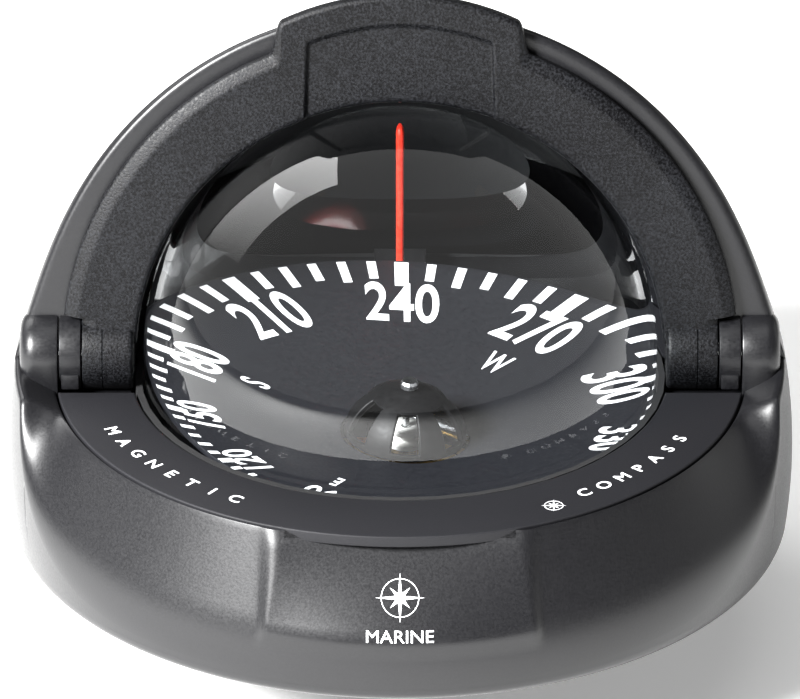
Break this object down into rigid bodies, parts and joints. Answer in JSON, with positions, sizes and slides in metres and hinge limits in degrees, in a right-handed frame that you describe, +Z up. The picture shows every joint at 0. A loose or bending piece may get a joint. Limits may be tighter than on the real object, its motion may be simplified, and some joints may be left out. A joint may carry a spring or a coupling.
{
  "type": "flush-mount steering compass",
  "caption": "Flush-mount marine steering compass: round base, liquid-filled dome over a gimballed top-reading card, fixed hood and a swing-over visor.",
  "frame": {"origin": "centre of the panel cut-out, level with the panel face that the flange gasket sits on", "axes": "+Z up and away from the panel; the helmsman looks along +Y; the visor hinge line runs along X"},
  "size_m": [0.1716, 0.1714, 0.1491],
  "materials": {
    "satin_black_asa": "satin moulded, fine spark grain",
    "matt_black_plate": "matt moulded, white print",
    "textured_black_asa": "coarse moulded grain",
    "clear_acrylic": "polished",
    "nitrile_rubber": "matt",
    "black_acetal": "satin moulded",
    "white_acetal": "satin",
    "printed_card": "matt, white print",
    "red_enamel": "satin",
    "stainless_steel": "turned",
    "machined_brass": "turned",
    "nickel_plated_magnet": "plated",
    "sapphire_jewel": "polished"
  },
  "bodies": {
    "housing": {"base_housing": "satin_black_asa", "bezel_plate": "matt_black_plate", "cable_gland": "nitrile_rubber", "capsule_bowl": "black_acetal", "capsule_gasket": "nitrile_rubber", "compensator_body": "black_acetal", "compensator_cover": "black_acetal", "cover_screw_1": "stainless_steel", "cover_screw_2": "stainless_steel", "cover_screw_3": "stainless_steel", "cover_screw_4": "stainless_steel", "diaphragm": "nitrile_rubber", "diaphragm_cover": "black_acetal", "dome": "clear_acrylic", "dome_seal": "nitrile_rubber", "filler_plug": "machined_brass", "filler_washer": "nitrile_rubber", "flange_gasket": "nitrile_rubber", "gimbal_yoke": "black_acetal", "hinge_bush_left": "black_acetal", "hinge_bush_right": "black_acetal", "hinge_pin_left": "stainless_steel", "hinge_pin_right": "stainless_steel", "lamp_holder": "black_acetal", "lamp_lens": "clear_acrylic", "lubber_bracket": "black_acetal", "lubber_line": "red_enamel", "mounting_insert_1": "machined_brass", "mounting_insert_2": "machined_brass", "mounting_insert_3": "machined_brass", "mounting_insert_4": "machined_brass", "rear_trim": "matt_black_plate", "retaining_ring": "black_acetal", "roll_pin_front": "stainless_steel", "roll_pin_rear": "stainless_steel"},
    "visor": {"visor": "textured_black_asa"},
    "gimbal_ring": {"gimbal_ring": "machined_brass", "pitch_pin_left": "stainless_steel", "pitch_pin_right": "stainless_steel"},
    "gimbal_frame": {"gimbal_frame": "machined_brass", "counterweight": "machined_brass", "pivot_stem": "machined_brass", "pivot_needle": "stainless_steel", "pivot_collar": "white_acetal"},
    "card": {"card_disc": "printed_card", "card_hub": "black_acetal", "jewel": "sapphire_jewel", "hub_screw": "stainless_steel", "card_magnet_1": "nickel_plated_magnet", "card_magnet_2": "nickel_plated_magnet"},
    "compensator_shaft_1": {"compensator_gear_1": "machined_brass", "compensator_magnet_1": "nickel_plated_magnet"},
    "compensator_shaft_2": {"compensator_gear_2": "machined_brass", "compensator_magnet_2": "nickel_plated_magnet"},
    "compensator_shaft_3": {"compensator_gear_3": "machined_brass", "compensator_magnet_3": "nickel_plated_magnet"},
    "compensator_shaft_4": {"compensator_gear_4": "machined_brass", "compensator_magnet_4": "nickel_plated_magnet"}
  },
  "joints": [
    {"name": "visor_hinge", "type": "hinge", "parent": "housing", "child": "visor", "pos_m": [0, 0, 0.0401], "axis": [1, 0, 0], "range_deg": [0, 99.5]},
    {"name": "gimbal_roll", "type": "hinge", "parent": "housing", "child": "gimbal_ring", "pos_m": [0, 0, 0.017], "axis": [0, 1, 0], "range_deg": [-19.5, 10.5]},
    {"name": "gimbal_pitch", "type": "hinge", "parent": "gimbal_ring", "child": "gimbal_frame", "pos_m": [0, 0, 0.017], "axis": [0.9969, 0, -0.0785], "range_deg": [-20.2, 9.8]},
    {"name": "card_spin", "type": "hinge", "parent": "gimbal_frame", "child": "card", "pos_m": [0, 0, 0.017], "axis": [0.0781, -0.0906, 0.9928], "continuous": true},
    {"name": "compensator_turn_1", "type": "hinge", "parent": "housing", "child": "compensator_shaft_1", "pos_m": [-0.0155, 0.037, -0.015], "axis": [0, 0, 1], "continuous": true},
    {"name": "compensator_turn_2", "type": "hinge", "parent": "housing", "child": "compensator_shaft_2", "pos_m": [-0.0071, 0.037, -0.015], "axis": [0, 0, 1], "continuous": true},
    {"name": "compensator_turn_4", "type": "hinge", "parent": "housing", "child": "compensator_shaft_4", "pos_m": [0.0155, 0.037, -0.015], "axis": [0, 0, 1], "continuous": true},
    {"name": "compensator_turn_3", "type": "hinge", "parent": "housing", "child": "compensator_shaft_3", "pos_m": [0.0071, 0.037, -0.015], "axis": [0, 0, 1], "continuous": true}
  ],
  "couplings": [
    {"joint": "compensator_turn_2", "follows": "compensator_turn_1", "ratio": -1},
    {"joint": "compensator_turn_3", "follows": "compensator_turn_4", "ratio": -1}
  ]
}
